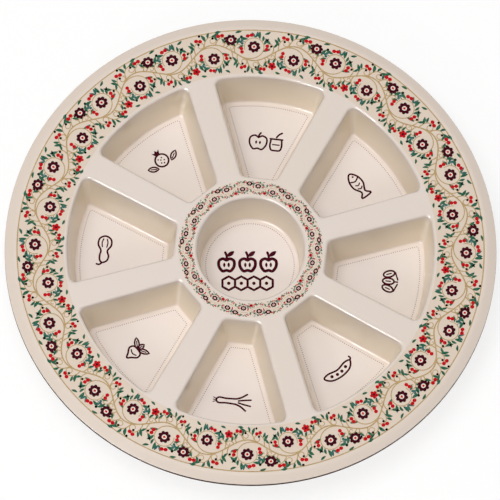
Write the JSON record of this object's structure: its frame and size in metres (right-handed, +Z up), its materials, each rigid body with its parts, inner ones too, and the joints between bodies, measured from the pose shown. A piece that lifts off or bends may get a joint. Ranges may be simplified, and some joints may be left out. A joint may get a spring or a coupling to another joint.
{
  "type": "rosh hashanah plate",
  "caption": "Round moulded compartment plate for a festive table, with wedge wells round a centre bowl and a printed garland border.",
  "frame": {"origin": "middle of the table face, under the centre bowl", "axes": "+Z up out of the wells; the wells point along +X, +Y, -X, -Y and the diagonals between them"},
  "size_m": [0.33, 0.33, 0.0382],
  "materials": {
    "melamine": "glossy cream melamine",
    "border_print": "cream print foil with a maroon, red, green and gold vine border under clear glaze",
    "floor_print": "cream print foil with a dotted outline and a maroon picture under clear glaze"
  },
  "bodies": {
    "root": {"plate_body": "melamine", "rim_border_foil": "border_print", "hub_ring_foil": "border_print", "centre_floor_foil": "floor_print", "floor_foil_date": "floor_print", "floor_foil_fish": "floor_print", "floor_foil_apple": "floor_print", "floor_foil_pomegranate": "floor_print", "floor_foil_gourd": "floor_print", "floor_foil_beet": "floor_print", "floor_foil_leek": "floor_print", "floor_foil_bean": "floor_print"}
  },
  "joints": []
}
